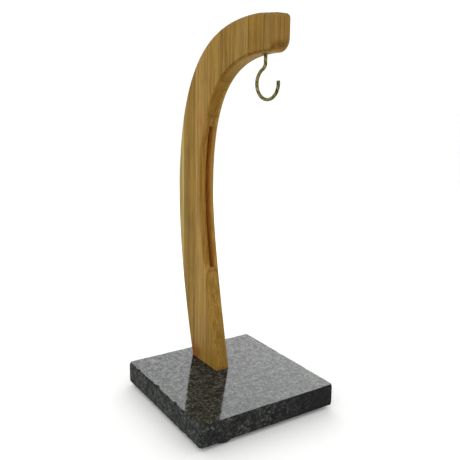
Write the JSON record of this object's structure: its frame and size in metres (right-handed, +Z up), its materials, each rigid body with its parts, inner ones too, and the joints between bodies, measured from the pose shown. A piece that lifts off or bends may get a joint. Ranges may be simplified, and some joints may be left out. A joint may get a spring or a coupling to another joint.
{
  "type": "single-hook hanging stand",
  "caption": "Hanging stand: a curved bamboo arm on a square granite slab holds a brass-plated screw hook under its head and has a blade slot in its front edge.",
  "frame": {"origin": "on the resting plane, under the middle of the whole stand's bounding box", "axes": "+Z up, +X towards the front, the way the arm's head reaches, +Y to the left of that"},
  "size_m": [0.1598, 0.142, 0.352],
  "materials": {
    "granite": "polished",
    "black_rubber": "matte",
    "bamboo_light": "satin",
    "bamboo_dark": "satin",
    "zinc_steel": "satin",
    "hook_brass": "satin"
  },
  "bodies": {
    "stand": {"granite_slab": "granite", "foot_front_right": "black_rubber", "foot_front_left": "black_rubber", "foot_back_right": "black_rubber", "foot_back_left": "black_rubber", "arm_stave_1": "bamboo_dark", "arm_stave_2": "bamboo_dark", "arm_stave_3": "bamboo_light", "arm_stave_4_foot": "bamboo_dark", "arm_stave_4_head": "bamboo_light", "arm_stave_5": "bamboo_dark", "arm_stave_6": "bamboo_light", "arm_stave_7": "bamboo_dark", "arm_stave_8": "bamboo_dark", "fixing_screw_back": "zinc_steel", "washer_back": "zinc_steel", "fixing_screw_front": "zinc_steel", "washer_front": "zinc_steel"},
    "hook": {"screw_hook": "hook_brass"}
  },
  "joints": [
    {"name": "hook_turn", "type": "hinge", "parent": "stand", "child": "hook", "pos_m": [0.05645, 0, 0.3205], "axis": [0, 0, 1], "range_deg": [-180, 180]}
  ]
}
